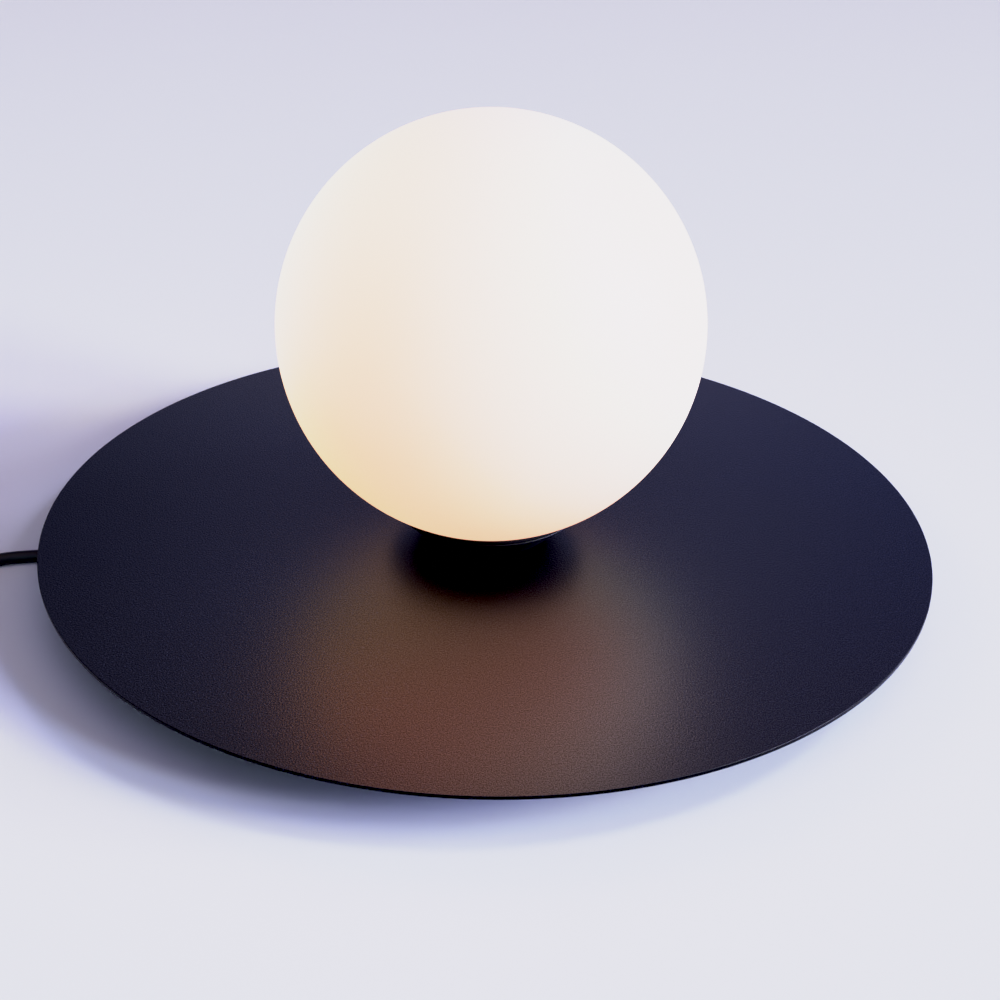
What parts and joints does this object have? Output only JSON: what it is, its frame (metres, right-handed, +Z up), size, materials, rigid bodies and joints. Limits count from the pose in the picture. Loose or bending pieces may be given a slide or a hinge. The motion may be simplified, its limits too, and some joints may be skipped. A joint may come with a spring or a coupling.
{
  "type": "table lamp",
  "caption": "Low table lamp with an opal glass globe in a small flared cup at the centre of a large thin disc, with a flex, an in-line rocker switch and a plug.",
  "frame": {"origin": "on the table, straight under the centre of the disc and globe", "axes": "+Z up along the axis of the disc, cup and globe; the flex leaves the base towards -X"},
  "size_m": [0.4758, 0.345, 0.1875],
  "materials": {
    "disc_coat": "fine-textured matt black coating",
    "cup_coat": "fine-textured matt black coating",
    "base_coat": "fine-textured matt black coating",
    "opal_glass": "satin opal white",
    "bulb_glass": "frosted",
    "ceramic": "glazed ceramic white",
    "silicone": "soft black",
    "spring_steel": "bare spring steel",
    "zinc_steel": "zinc plated",
    "weight_iron": "bare plate",
    "contact_brass": "bare",
    "pin_nickel": "nickel plated",
    "foot_rubber": "matt black",
    "block_plastic": "natural nylon",
    "flex_black": "smooth black sheath",
    "tie_black": "matt band",
    "wire_brown": "brown insulation",
    "wire_blue": "blue insulation",
    "switch_black": "fine matt",
    "rocker_black": "satin"
  },
  "bodies": {
    "base": {"disc_plate": "disc_coat", "holder_cup": "cup_coat", "base_pan": "base_coat", "bottom_cover": "base_coat", "lampholder": "ceramic", "cup_gasket": "silicone", "spring_spider": "spring_steel", "holder_bracket": "zinc_steel", "holder_screw_1": "zinc_steel", "holder_screw_2": "zinc_steel", "nipple_tube": "zinc_steel", "nipple_nut_upper": "zinc_steel", "nipple_nut_lower": "zinc_steel", "lock_washer": "zinc_steel", "cover_screw_1": "zinc_steel", "cover_screw_2": "zinc_steel", "cover_screw_3": "zinc_steel", "terminal_screw_1": "zinc_steel", "terminal_screw_2": "zinc_steel", "terminal_screw_3": "zinc_steel", "terminal_screw_4": "zinc_steel", "switch_screw_1": "zinc_steel", "switch_screw_2": "zinc_steel", "ballast_plate": "weight_iron", "holder_contact_1": "contact_brass", "holder_contact_2": "contact_brass", "switch_terminal_1": "contact_brass", "switch_terminal_2": "contact_brass", "plug_pin_1": "pin_nickel", "plug_pin_2": "pin_nickel", "foot_1": "foot_rubber", "foot_2": "foot_rubber", "foot_3": "foot_rubber", "foot_4": "foot_rubber", "strain_relief": "foot_rubber", "terminal_block": "block_plastic", "cord_inner_end": "flex_black", "cord_to_switch": "flex_black", "cord_from_switch": "flex_black", "cord_coil": "flex_black", "cord_to_plug": "flex_black", "cord_tie": "tie_black", "mains_wire_live": "wire_brown", "lamp_wire_live": "wire_brown", "switch_wire_live_in": "wire_brown", "switch_wire_live_out": "wire_brown", "mains_wire_neutral": "wire_blue", "lamp_wire_neutral": "wire_blue", "switch_wire_neutral": "wire_blue", "switch_shell_lower": "switch_black", "switch_shell_upper": "switch_black", "plug_body": "switch_black"},
    "globe": {"opal_globe": "opal_glass"},
    "bulb": {"bulb_base": "ceramic", "bulb_cover": "bulb_glass", "bulb_pin_1": "zinc_steel", "bulb_pin_2": "zinc_steel"},
    "rocker": {"switch_rocker": "rocker_black", "switch_bridge": "contact_brass"}
  },
  "joints": [
    {"name": "globe_lift", "type": "slide", "parent": "base", "child": "globe", "axis": [0, 0, 1], "range_m": [0, 0.17]},
    {"name": "bulb_pull", "type": "slide", "parent": "base", "child": "bulb", "axis": [0, 0, 1], "range_m": [0, 0.05]},
    {"name": "switch_rocker_tip", "type": "hinge", "parent": "base", "child": "rocker", "pos_m": [-0.251, -0.056, 0.015], "axis": [1, 0, 0], "range_deg": [0, 16]}
  ]
}
